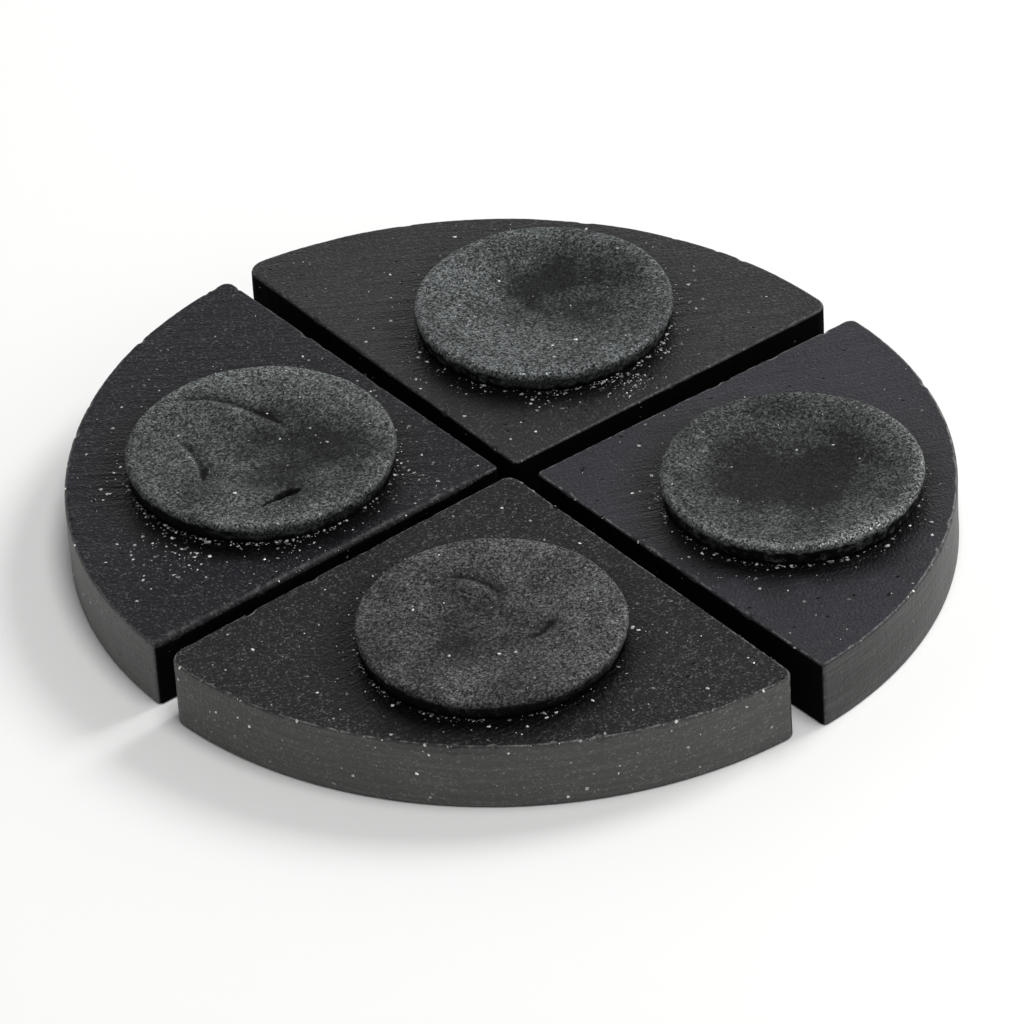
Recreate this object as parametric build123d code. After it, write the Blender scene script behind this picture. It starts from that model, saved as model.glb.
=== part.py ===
"""Four quarter-round blocks of ebonised wood, each carrying one pressed cake of charcoal and mica.

The blocks are one turned round, sawn twice through its middle and laid back together with the
saw's gap between them. They stand loose, so each of them can be slid away from the others. Each
block has a shallow round seat in its top, and a cake of black pigment was pressed into it wet.

Millimetres. The origin is at the bottom centre of the whole round, +Z is up, and the middles of
the four blocks point along +Y (back), -X (left), -Y (front) and +X (right).
"""
from build123d import *

import os
from dataclasses import dataclass
from math import sqrt

# Driving dimensions of the wood
BLOCK_HEIGHT = 10.8
EDGE_EASE = 0.35
SEAT_DEPTH = 2.5

# Driving dimensions of a cake's section
CAKE_UNDERCUT = 0.7
CAKE_WALL_FOOT = 0.9
RIM_WIDTH = 2.4
RIM_ROUND = 0.9

PARTS_FOLDER = "parts"


@dataclass(frozen=True)
class Cake:
    """One pressed cake: where it sits on the table plan, and its own sizes."""

    centre: tuple
    radius: float
    height: float
    dish: float


@dataclass(frozen=True)
class Quarter:
    """One hand-sawn block. The right-hand and left-hand cuts are as seen from the tip outwards."""

    name: str
    facing: float
    tip: tuple
    wedge: float
    right_cut: float
    left_cut: float
    arc_radius: float
    tip_round: float
    right_round: float
    left_round: float
    cake: Cake


QUARTERS = (
    Quarter("back", 89.3, (0.7, 1.3), 90.3, 59.5, 67.3, 65.3, 1.0, 2.5, 3.0,
            Cake((0.8, 38.7), 19.5, 3.0, 1.3)),
    Quarter("left", 180.4, (-1.6, 0.5), 89.5, 65.0, 62.4, 64.0, 0.8, 1.5, 0.8,
            Cake((-36.5, 0.5), 20.0, 3.0, 0.9)),
    Quarter("front", 270.5, (0.2, -0.9), 89.4, 63.1, 63.8, 63.8, 2.0, 3.0, 2.0,
            Cake((1.9, -38.9), 19.4, 2.9, 0.8)),
    Quarter("right", -0.2, (3.8, -0.6), 87.3, 62.6, 59.2, 59.7, 1.0, 0.8, 1.5,
            Cake((41.3, -1.9), 19.3, 3.0, 1.2)),
)


def outer_arc(start, end, radius):
    """The block's round side: an arc of the given radius that bulges away from the tip."""
    chord = end - start
    sagitta = radius - sqrt(radius ** 2 - (chord.length / 2) ** 2)
    outward = Vector(chord.Y, -chord.X).normalized()
    middle = (start + end) / 2 + outward * sagitta
    return ThreePointArc(start, middle, end)


def block_outline(quarter):
    """The plan of a block: two straight cuts, the round side, and three rounded corners."""
    tip = Vector(*quarter.tip)
    right_end = tip + Vector(quarter.right_cut, 0).rotate(Axis.Z, quarter.facing - quarter.wedge / 2)
    left_end = tip + Vector(quarter.left_cut, 0).rotate(Axis.Z, quarter.facing + quarter.wedge / 2)
    edges = [Line(tip, right_end), outer_arc(right_end, left_end, quarter.arc_radius), Line(left_end, tip)]
    face = make_face(edges)
    rounds = ((tip, quarter.tip_round), (right_end, quarter.right_round), (left_end, quarter.left_round))
    for corner, radius in rounds:
        face = fillet(face.vertices().sort_by_distance(corner)[0], radius)
    return face


def make_block(quarter):
    """A block: its plan raised to its height, edges eased, and the round seat sunk in its top."""
    block = extrude(block_outline(quarter), BLOCK_HEIGHT)
    flat_edges = block.edges().group_by(Axis.Z)
    block = chamfer(flat_edges[0] + flat_edges[-1], EDGE_EASE)
    cake = quarter.cake
    seat = Cylinder(cake.radius - CAKE_UNDERCUT, SEAT_DEPTH, align=(Align.CENTER, Align.CENTER, Align.MAX))
    return block - Pos(*cake.centre, BLOCK_HEIGHT) * seat


def make_cake(quarter):
    """A cake: a plug that fills the seat, a wall that leans out over the wood, and a dished top."""
    cake = quarter.cake
    seat_radius = cake.radius - CAKE_UNDERCUT
    shoulder = (cake.radius, cake.height - RIM_ROUND)
    crest = (cake.radius - RIM_ROUND, cake.height)
    rim_foot = (cake.radius - RIM_WIDTH, cake.height - cake.dish / 3)
    middle = (0, cake.height - cake.dish)
    profile = [
        Line(middle, (0, -SEAT_DEPTH)),
        Line((0, -SEAT_DEPTH), (seat_radius, -SEAT_DEPTH)),
        Line((seat_radius, -SEAT_DEPTH), (seat_radius, 0)),
        Line((seat_radius, 0), (cake.radius, CAKE_WALL_FOOT)),
        Line((cake.radius, CAKE_WALL_FOOT), shoulder),
        RadiusArc(crest, shoulder, RIM_ROUND),
        Line(crest, rim_foot),
        TangentArc(middle, rim_foot, tangent=(1, 0)),
    ]
    section = Plane.XZ * make_face(profile)
    return Pos(*cake.centre, BLOCK_HEIGHT) * revolve(section, Axis.Z)


def save(solid, node):
    """Write one sub-part as a STEP file named after its node."""
    solid.label = node
    export_step(solid, f"{PARTS_FOLDER}/{node}.step")


def main():
    """Build every block and every cake and write them out."""
    os.makedirs(PARTS_FOLDER, exist_ok=True)
    pieces = []
    for quarter in QUARTERS:
        block = make_block(quarter)
        cake = make_cake(quarter)
        save(block, f"{quarter.name}_block")
        save(cake, f"{quarter.name}_cake")
        pieces += [block, cake]
    box = Compound(children=pieces).bounding_box()
    print("box", box.min, box.max)


main()
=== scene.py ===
"""Looks for a round of ebonised wood in four loose quarters, each with a cake of charcoal and mica.

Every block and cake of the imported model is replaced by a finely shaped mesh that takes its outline,
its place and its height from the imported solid. The wood gets eased and chipped arrises, saw marks and
open pores; the cakes get their dished tops, rolled rims, folds and undercut walls; and flakes of mica
lie on the wood and the cakes as real, closed slivers. Lengths are millimetres until a mesh is
written in metres, and angles are degrees where the name says so.
"""

import logging
import math
from dataclasses import dataclass, field
from enum import Enum
from itertools import product

import bpy
import numpy as np
from mathutils import Matrix, Vector
from mathutils.geometry import convex_hull_2d

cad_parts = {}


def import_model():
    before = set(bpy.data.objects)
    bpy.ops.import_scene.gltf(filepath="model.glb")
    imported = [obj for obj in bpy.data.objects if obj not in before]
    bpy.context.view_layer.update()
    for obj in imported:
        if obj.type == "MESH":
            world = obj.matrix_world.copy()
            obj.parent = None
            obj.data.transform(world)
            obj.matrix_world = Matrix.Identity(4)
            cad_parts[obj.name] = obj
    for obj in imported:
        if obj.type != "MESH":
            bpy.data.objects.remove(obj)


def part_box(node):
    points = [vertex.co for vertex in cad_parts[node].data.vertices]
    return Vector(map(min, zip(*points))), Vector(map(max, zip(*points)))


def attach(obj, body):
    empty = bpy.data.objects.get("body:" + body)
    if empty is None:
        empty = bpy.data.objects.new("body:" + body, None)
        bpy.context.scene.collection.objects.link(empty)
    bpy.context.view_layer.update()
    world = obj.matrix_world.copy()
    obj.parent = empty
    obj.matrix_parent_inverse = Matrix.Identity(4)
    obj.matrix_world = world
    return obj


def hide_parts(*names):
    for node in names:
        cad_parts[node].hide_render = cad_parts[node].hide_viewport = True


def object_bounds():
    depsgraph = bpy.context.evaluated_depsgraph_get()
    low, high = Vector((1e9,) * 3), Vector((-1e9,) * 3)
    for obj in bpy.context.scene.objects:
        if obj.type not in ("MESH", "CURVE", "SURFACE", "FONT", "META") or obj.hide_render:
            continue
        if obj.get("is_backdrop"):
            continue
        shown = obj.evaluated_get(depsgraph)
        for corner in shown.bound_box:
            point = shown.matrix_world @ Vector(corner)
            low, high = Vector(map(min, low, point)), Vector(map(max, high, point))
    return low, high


LOG = logging.getLogger("pigment_blocks")
MM = 0.001


class Side(Enum):
    """The four quarters, by where each lies in the round. The value is the body's name."""

    BACK = "back"
    LEFT = "left"
    FRONT = "front"
    RIGHT = "right"

    @property
    def block_node(self) -> str:
        """Name of the quarter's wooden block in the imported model."""
        return f"{self.value}_block"

    @property
    def cake_node(self) -> str:
        """Name of the quarter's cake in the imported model."""
        return f"{self.value}_cake"


class Slot(Enum):
    """The record's material slots."""

    WOOD = "ebonised_wood"
    CAKE = "charcoal_cake"


# ---------------------------------------------------------------------------------------------
# Small tools: colour, nodes, noise and meshes
# ---------------------------------------------------------------------------------------------


def linear(hex_colour: str) -> tuple[float, float, float, float]:
    """Turn an sRGB hex colour into the linear colour that a shader socket takes.

    Args:
        hex_colour: The colour as "#rrggbb".

    Returns:
        Linear red, green and blue, and an alpha of 1.
    """
    channels = [int(hex_colour[i:i + 2], 16) / 255 for i in (1, 3, 5)]
    straight = [c / 12.92 if c <= 0.04045 else ((c + 0.055) / 1.055) ** 2.4 for c in channels]
    return (*straight, 1.0)


def add_node(tree: bpy.types.NodeTree, kind: str, inputs: dict | None = None, **settings) -> bpy.types.Node:
    """Add one shader node with its settings, and link or fill its inputs.

    Args:
        tree: The node tree that the node goes into.
        kind: The node's type, without the ShaderNode that it starts with.
        inputs: Input name or index to an output socket, to a node whose first output is meant, or
            to a plain value.
        **settings: The node's own properties.

    Returns:
        The new node.
    """
    node = tree.nodes.new(f"ShaderNode{kind}")
    for name, value in settings.items():
        setattr(node, name, value)
    for name, value in (inputs or {}).items():
        if isinstance(value, bpy.types.Node):
            value = value.outputs[0]
        if isinstance(value, bpy.types.NodeSocket):
            tree.links.new(value, node.inputs[name])
        else:
            node.inputs[name].default_value = value
    return node


def place_in_mm(tree: bpy.types.NodeTree, up: float = 1.0) -> bpy.types.Node:
    """Read where on the object a point is, in mm.

    Args:
        tree: The node tree.
        up: Scale of the height against the plan; under 1 draws a pattern out upwards.

    Returns:
        The node that gives the place.
    """
    place = add_node(tree, "TexCoord").outputs["Object"]
    return add_node(tree, "Mapping", {"Vector": place, "Scale": (1.0 / MM, 1.0 / MM, up / MM)})


def towards(bearing: float, elevation: float) -> Vector:
    """Turn a bearing and an elevation into a direction.

    Args:
        bearing: Degrees round from the front, anticlockwise from above.
        elevation: Degrees above the table.

    Returns:
        The direction, of length 1.
    """
    turn, rise = math.radians(bearing), math.radians(elevation)
    return Vector((math.sin(turn) * math.cos(rise), -math.cos(turn) * math.cos(rise), math.sin(rise)))


def ray(turn: float | np.ndarray) -> np.ndarray:
    """Unit vector in plan, or one for each, at an angle in radians from the X axis."""
    return np.stack([np.cos(turn), np.sin(turn)], -1)


def unit(vectors: np.ndarray) -> np.ndarray:
    """Scale each vector in the last axis to length 1."""
    return vectors / np.linalg.norm(vectors, axis=-1, keepdims=True)


def ramp(value: np.ndarray, low: float, high: float) -> np.ndarray:
    """Rise smoothly from 0 at low to 1 at high."""
    t = np.clip((value - low) / (high - low), 0.0, 1.0)
    return t * t * (3.0 - 2.0 * t)


class ValueNoise:
    """Smooth seeded noise between -1 and 1, for shaping surfaces."""

    LATTICE = 256

    def __init__(self, seed: int) -> None:
        """Shuffle the lattice.

        Args:
            seed: The same seed always gives the same noise.
        """
        rng = np.random.default_rng(seed)
        self.shuffle = rng.permutation(self.LATTICE)
        self.values = rng.uniform(-1.0, 1.0, self.LATTICE)

    def at(self, points: np.ndarray, size: float) -> np.ndarray:
        """Read the noise.

        Args:
            points: Places in mm; the last axis holds the coordinates.
            size: Size of a lump of the noise, in mm.

        Returns:
            One value for each point.
        """
        scaled = points / size
        cell = np.floor(scaled).astype(int)
        along = scaled - cell
        along = along * along * (3.0 - 2.0 * along)
        total = np.zeros(points.shape[:-1])
        for corner in product((0, 1), repeat=points.shape[-1]):
            index = np.zeros(points.shape[:-1], int)
            weight = np.ones(points.shape[:-1])
            for axis, step in enumerate(corner):
                index = self.shuffle[(index + cell[..., axis] + step) % self.LATTICE]
                weight = weight * (along[..., axis] if step else 1.0 - along[..., axis])
            total += weight * self.values[index]
        return total

    def fractal(self, points: np.ndarray, size: float, octaves: int = 3, gain: float = 0.5) -> np.ndarray:
        """Sum the noise at halving sizes.

        Args:
            points: Places in mm.
            size: Size of the largest lumps, in mm.
            octaves: How many sizes are added.
            gain: Strength of each size against the one before.

        Returns:
            One value for each point, roughly between -1 and 1.
        """
        return sum(gain ** k * self.at(points + 17.3 * k, size / 2 ** k) for k in range(octaves))


def write_mesh(name: str, points: np.ndarray, faces: list, attributes: dict) -> bpy.types.Object:
    """Write a smooth-shaded mesh object in metres.

    Args:
        name: The object's name.
        points: Corner places in mm, one per row.
        faces: Lists of corner numbers.
        attributes: Attribute name to one number per corner.

    Returns:
        The object, linked to the scene.
    """
    mesh = bpy.data.meshes.new(name)
    mesh.from_pydata((points * MM).tolist(), [], faces)
    for key, values in attributes.items():
        layer = mesh.attributes.new(key, "FLOAT", "POINT")
        layer.data.foreach_set("value", np.asarray(values, np.float32).ravel())
    mesh.polygons.foreach_set("use_smooth", np.ones(len(mesh.polygons), bool))
    mesh.update()
    piece = bpy.data.objects.new(name, mesh)
    bpy.context.scene.collection.objects.link(piece)
    return piece


def write_rings(name: str, rings: np.ndarray, attributes: dict) -> bpy.types.Object:
    """Write a closed skin through a stack of rings, each end closed by a fan to its middle.

    Args:
        name: The object's name.
        rings: Places in mm, as rings by points round each ring by 3.
        attributes: Attribute name to values, as rings by points round each ring.

    Returns:
        The mesh object.
    """
    count, around, _ = rings.shape
    points = np.vstack([rings.reshape(-1, 3), rings[0].mean(0), rings[-1].mean(0)])
    start = np.arange(around)
    after = (start + 1) % around
    faces: list = []
    for a in range(0, (count - 1) * around, around):
        b = a + around
        faces += np.stack([a + start, a + after, b + after, b + start], -1).tolist()
    first, last, top = count * around, count * around + 1, (count - 1) * around
    faces += np.stack([np.full(around, first), after, start], -1).tolist()
    faces += np.stack([np.full(around, last), top + start, top + after], -1).tolist()
    full = {
        key: np.append(values.ravel(), [values[0].mean(), values[-1].mean()])
        for key, values in attributes.items()}
    return write_mesh(name, points, faces, full)


# ---------------------------------------------------------------------------------------------
# Finishes
# ---------------------------------------------------------------------------------------------


class Finish:
    """What the finishes share. Each has a name, and says in surface() what its shader is fed."""

    name: str

    def surface(self, tree: bpy.types.NodeTree) -> dict:
        """Build the patterns of the finish.

        Args:
            tree: The material's node tree.

        Returns:
            The shader's input names, each with what it is linked to or set to.
        """
        raise NotImplementedError

    def material(self) -> bpy.types.Material:
        """Build the material round the finish's surface.

        Returns:
            The finished material.
        """
        material = bpy.data.materials.new(self.name)
        material.use_nodes = True
        tree = material.node_tree
        tree.nodes.clear()
        shader = add_node(tree, "BsdfPrincipled", self.surface(tree))
        add_node(tree, "OutputMaterial", {"Surface": shader})
        return material


@dataclass(frozen=True)
class EbonisedWood(Finish):
    """Fine-grained hardwood, sawn and sanded, stained black through its pores and left unvarnished.

    To the eye it is a dull black that goes grey where it is seen at a low angle: faint fibres and saw lines
    in the stain, open pores like pricks of a pin with stain and painted shade in them, arrises worn a little
    paler with a painted highlight line, a round side drawn paler as painted light, and a fine dust of mica
    lying in the grain. Round the cakes it carries smudged charcoal and the cakes' painted shadow, and next
    to the cuts painted shade of the gaps.
    """

    name: str
    grain_degrees: float
    stain: str = "#0f0f11"
    thin_stain: str = "#1a191c"
    # Stain gathered in the pores and low spots, with painted shade of the holes.
    pore_stain_and_shade: str = "#060606"
    # Bare wood on worn arrises, drawn as a thin painted highlight line.
    worn_highlight: str = "#6a6866"
    streak: str = "#7b7978"
    # Painted light: the round side is drawn paler than the top.
    painted_side_light: str = "#4b4b4a"
    dust: str = "#a9aaa6"
    # Near black round each cake: smudged charcoal and the cake's painted shadow.
    smear_and_shade: str = "#030303"
    # Painted shade of the narrow gaps, drawn on the arrises next to the sawn cuts.
    gap_shade: str = "#010101"
    dust_share: float = 0.35
    powder_share: float = 0.12
    pore_share: float = 0.4
    side_pores: float = 0.0
    streak_share: float = 0.08
    worn_share: float = 0.5
    saw_strength: float = 0.12
    fibre_strength: float = 0.4
    ior: float = 1.48
    specular: float = 0.35
    roughness: float = 0.46

    FIBRE_MM = 0.9
    FINE_FIBRE_MM = 0.3
    FIBRE_SQUEEZE = 0.08
    FINE_FIBRE_SQUEEZE = 0.12
    FIBRE_TONE = 0.6
    SAW_PITCH_MM = 1.0
    WAVE_BAND = 2 * math.pi / 20
    PIT_MM = 0.45
    PIT_RELIEF = 1.8
    PORE_CELL_MM = 1.1
    PORE_RELIEF = 2.5
    CLOUDS_PER_MM = 0.06
    DRIFTS_PER_MM = 0.11
    WEAR_PER_MM = 0.9
    CUT_ROUGHENS = 0.5
    SMEAR_SHADE_SMOOTHS = 0.2
    # Real mica dust is under 0.05 mm; it is drawn at 0.2 mm so that it shows.
    DUST_CELL_MM = 0.62
    # Powder caught in the pores is finer still; it is drawn at 0.26 mm.
    POWDER_MM = 0.26
    POWDER_RARITY = 9.0
    # How the drifts and the nearness of the cake add to the share of cells that hold a speck.
    DRIFT_GAIN = 1.6
    DRIFT_FLOOR = 0.4
    FALLEN_GAIN = 0.35
    # Most specks are faint: chance to this power, times the gain, plus the least.
    FAINT_POWER = 2.2
    FAINT_GAIN = 0.55
    FAINT_LEAST = 0.05

    def surface(self, tree: bpy.types.NodeTree) -> dict:
        """Build the fibres, saw lines, pores, wear and dust, and the painted light and shade, laid over the
        stain.

        Args:
            tree: The material's node tree.

        Returns:
            What the shader is fed.
        """
        grain = add_node(
            tree, "VectorRotate",
            {"Vector": place_in_mm(tree), "Angle": -math.radians(self.grain_degrees)},
            rotation_type="Z_AXIS")
        fibres = self.stretched_noise(tree, grain, self.FIBRE_MM, self.FIBRE_SQUEEZE)
        fine = self.stretched_noise(tree, grain, self.FINE_FIBRE_MM, self.FINE_FIBRE_SQUEEZE)
        cloud = add_node(tree, "TexNoise", {"Vector": grain, "Scale": self.CLOUDS_PER_MM, "Detail": 3.0})
        saw = add_node(
            tree, "TexWave",
            {"Vector": grain, "Scale": self.WAVE_BAND / self.SAW_PITCH_MM, "Distortion": 1.6,
             "Detail": 2.0, "Detail Scale": 0.6},
            wave_type="BANDS", bands_direction="Y").outputs["Fac"]
        side, smear_and_shade, cut = (
            add_node(tree, "Attribute", attribute_name=name).outputs["Fac"]
            for name in ("side", "smear_and_shade", "cut"))
        pores = self.pores(tree, grain, side)

        tone = add_node(tree, "Math", {0: fibres, 1: self.FIBRE_TONE, 2: cloud}, operation="MULTIPLY_ADD")
        tone = add_node(tree, "MapRange", {"Value": tone, "From Min": 0.55, "From Max": 1.05})
        streaks = add_node(
            tree, "MapRange",
            {"Value": fine, "From Min": 0.58, "From Max": 0.8, "To Max": self.streak_share})
        pitted = add_node(tree, "TexNoise", {"Vector": grain, "Scale": 1.0 / self.PIT_MM, "Detail": 3.0})
        # Painted shade: the low spots of the pitted noise are drawn in the pores' black.
        pit_shade = add_node(
            tree, "MapRange", {"Value": pitted, "From Min": 0.44, "From Max": 0.3, "To Max": 0.8})
        level = add_node(tree, "Mapping", {"Vector": grain, "Scale": (0.08, 0.08, 2.4)})
        sanding = add_node(tree, "TexNoise", {"Vector": level, "Scale": 1.0, "Detail": 4.0})
        sanding = add_node(
            tree, "MapRange", {"Value": sanding, "From Min": 0.45, "From Max": 0.75, "To Max": 0.25})
        sanding = add_node(tree, "Math", {0: sanding, 1: side}, operation="MULTIPLY")
        layers = (
            (streaks, self.streak), (pit_shade, self.pore_stain_and_shade), (side, self.painted_side_light), (sanding, self.streak),
            (self.wear(tree, grain), self.worn_highlight), (pores, self.pore_stain_and_shade),
            (self.dust_mask(tree, grain), self.dust), (smear_and_shade, self.smear_and_shade), (cut, self.gap_shade))
        colour = add_node(
            tree, "MixRGB",
            {"Fac": tone, "Color1": linear(self.stain), "Color2": linear(self.thin_stain)})
        for share, over in layers:
            colour = add_node(tree, "MixRGB", {"Fac": share, "Color1": colour, "Color2": linear(over)})

        relief = fibres
        heights = (
            (saw, self.saw_strength), (fine, self.fibre_strength), (pitted, self.PIT_RELIEF),
            (pores, -self.PORE_RELIEF))
        for height, strength in heights:
            relief = add_node(
                tree, "Math", {0: height, 1: strength, 2: relief}, operation="MULTIPLY_ADD")
        bump = add_node(tree, "Bump", {"Height": relief, "Distance": 0.08 * MM, "Strength": 0.9})
        rough = add_node(
            tree, "MapRange",
            {"Value": fine, "To Min": self.roughness - 0.08, "To Max": self.roughness + 0.12})
        for share, change in ((cut, self.CUT_ROUGHENS), (smear_and_shade, -self.SMEAR_SHADE_SMOOTHS)):
            rough = add_node(
                tree, "Math", {0: share, 1: change, 2: rough}, operation="MULTIPLY_ADD", use_clamp=True)
        # The pores' black and their lost gloss are stain gathered in them and painted shade of the holes; a
        # black metal gives back no gloss.
        return {"Base Color": colour, "Metallic": pores, "Roughness": rough, "IOR": self.ior,
                "Specular IOR Level": self.specular, "Normal": bump}

    @staticmethod
    def stretched_noise(
            tree: bpy.types.NodeTree, grain: bpy.types.Node, width: float, squeeze: float) -> bpy.types.Node:
        """Build noise drawn out along the grain, as fibres are.

        Args:
            tree: The node tree.
            grain: Place in mm, turned so that X runs along the grain.
            width: Width of a fibre in mm.
            squeeze: Width of a fibre against its length.

        Returns:
            The noise, from 0 to 1.
        """
        drawn = add_node(tree, "Mapping", {"Vector": grain, "Scale": (squeeze, 1.0, 1.0)})
        return add_node(
            tree, "TexNoise", {"Vector": drawn, "Scale": 1.0 / width, "Detail": 4.0, "Roughness": 0.6})

    def pores(self, tree: bpy.types.NodeTree, grain: bpy.types.Node, side: bpy.types.NodeSocket
              ) -> bpy.types.Node:
        """Build open pores: short dark slits along the grain, present in only some of the cells.

        Args:
            tree: The node tree.
            grain: Place in mm, along the grain.
            side: 1 on the round side of the block, which shows only side_pores of them.

        Returns:
            1 in the open pores and 0 between.
        """
        drawn = add_node(tree, "Mapping", {"Vector": grain, "Scale": (0.45, 1.0, 1.0)})
        cells = add_node(
            tree, "TexVoronoi", {"Vector": drawn, "Scale": 1.0 / self.PORE_CELL_MM, "Randomness": 1.0})
        hole = add_node(tree, "MapRange", {"Value": cells, "From Min": 0.17, "From Max": 0.10})
        chance = add_node(tree, "SeparateColor", {"Color": cells.outputs["Color"]}).outputs["Red"]
        shown = add_node(tree, "Math", {0: chance, 1: self.pore_share}, operation="LESS_THAN")
        on_side = add_node(
            tree, "Math", {0: side, 1: self.side_pores - 1.0, 2: 1.0}, operation="MULTIPLY_ADD")
        for share in (shown, on_side):
            hole = add_node(tree, "Math", {0: hole, 1: share}, operation="MULTIPLY")
        return hole

    def dust_mask(self, tree: bpy.types.NodeTree, grain: bpy.types.Node) -> bpy.types.Node:
        """Build specks of mica dust, small dots of uneven brightness in drifts, and finer powder.

        Args:
            tree: The node tree.
            grain: Place in mm.

        Returns:
            How much dust covers the wood, from 0 to 1.
        """
        cells, powder = (
            add_node(tree, "TexVoronoi", {"Vector": grain, "Scale": 1.0 / size, "Randomness": 1.0})
            for size in (self.DUST_CELL_MM, self.POWDER_MM))
        specks = add_node(tree, "MapRange", {"Value": cells, "From Min": 0.22, "From Max": 0.10})
        chance = add_node(tree, "SeparateColor", {"Color": cells.outputs["Color"]})
        drift = add_node(tree, "TexNoise", {"Vector": grain, "Scale": self.DRIFTS_PER_MM, "Detail": 2.0})
        limit = add_node(
            tree, "Math",
            {0: drift, 1: self.DRIFT_GAIN * self.dust_share, 2: -self.DRIFT_FLOOR * self.dust_share},
            operation="MULTIPLY_ADD")
        fallen = add_node(tree, "Attribute", attribute_name="dust").outputs["Fac"]
        limit = add_node(
            tree, "Math", {0: fallen, 1: self.FALLEN_GAIN, 2: limit}, operation="MULTIPLY_ADD")
        shown = add_node(
            tree, "Math", {0: chance.outputs["Green"], 1: limit}, operation="LESS_THAN")
        faint = add_node(
            tree, "Math", {0: chance.outputs["Blue"], 1: self.FAINT_POWER}, operation="POWER")
        faint = add_node(
            tree, "Math", {0: faint, 1: self.FAINT_GAIN, 2: self.FAINT_LEAST}, operation="MULTIPLY_ADD")
        for share in (shown, faint):
            specks = add_node(tree, "Math", {0: specks, 1: share}, operation="MULTIPLY")
        chance = add_node(tree, "SeparateColor", {"Color": powder.outputs["Color"]}).outputs["Red"]
        powder = add_node(tree, "Math", {0: chance, 1: self.POWDER_RARITY}, operation="POWER")
        return add_node(
            tree, "Math", {0: powder, 1: self.powder_share, 2: specks}, operation="MULTIPLY_ADD",
            use_clamp=True)

    def wear(self, tree: bpy.types.NodeTree, grain: bpy.types.Node) -> bpy.types.Node:
        """Build where handling has worn the stain off the arrises, with a painted highlight line near the
        top of each arris.

        Args:
            tree: The node tree.
            grain: Place in mm.

        Returns:
            Share of bare, worn wood and painted highlight, from 0 to 1.
        """
        patchy = add_node(tree, "TexNoise", {"Vector": grain, "Scale": self.WEAR_PER_MM, "Detail": 4.0})
        patchy = add_node(
            tree, "MapRange",
            {"Value": patchy, "From Min": 0.42, "From Max": 0.72, "To Max": self.worn_share})
        arris = add_node(tree, "Attribute", attribute_name="arris").outputs["Fac"]
        return add_node(tree, "Math", {0: arris, 1: patchy}, operation="MULTIPLY")


@dataclass(frozen=True)
class GapShadedSawnCut(Finish):
    """The cuts between the quarters: sawn across, stained while the fibres stood up, never sanded.

    To the eye it is the deepest black of the set: painted shade of the narrow gaps between the quarters,
    laid over the black stain.
    """

    name: str = "ebonised_wood_sawn_cut_gap_shade"
    valley: str = "#020202"
    ridge: str = "#0a0a0a"
    ior: float = 1.48
    specular: float = 0.04
    roughness: float = 0.95

    KERF_MM = 0.9
    DRAWN_UP = 0.09

    def surface(self, tree: bpy.types.NodeTree) -> dict:
        """Build the upright ridges that the saw left.

        Args:
            tree: The material's node tree.

        Returns:
            What the shader is fed.
        """
        kerf = add_node(
            tree, "TexNoise",
            {"Vector": place_in_mm(tree, self.DRAWN_UP), "Scale": 1.0 / self.KERF_MM, "Detail": 4.0,
             "Roughness": 0.65})
        colour = add_node(
            tree, "MixRGB", {"Fac": kerf, "Color1": linear(self.valley), "Color2": linear(self.ridge)})
        bump = add_node(tree, "Bump", {"Height": kerf, "Distance": 0.1 * MM, "Strength": 0.8})
        return {"Base Color": colour, "Roughness": self.roughness, "IOR": self.ior,
                "Specular IOR Level": self.specular, "Normal": bump}


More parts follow.
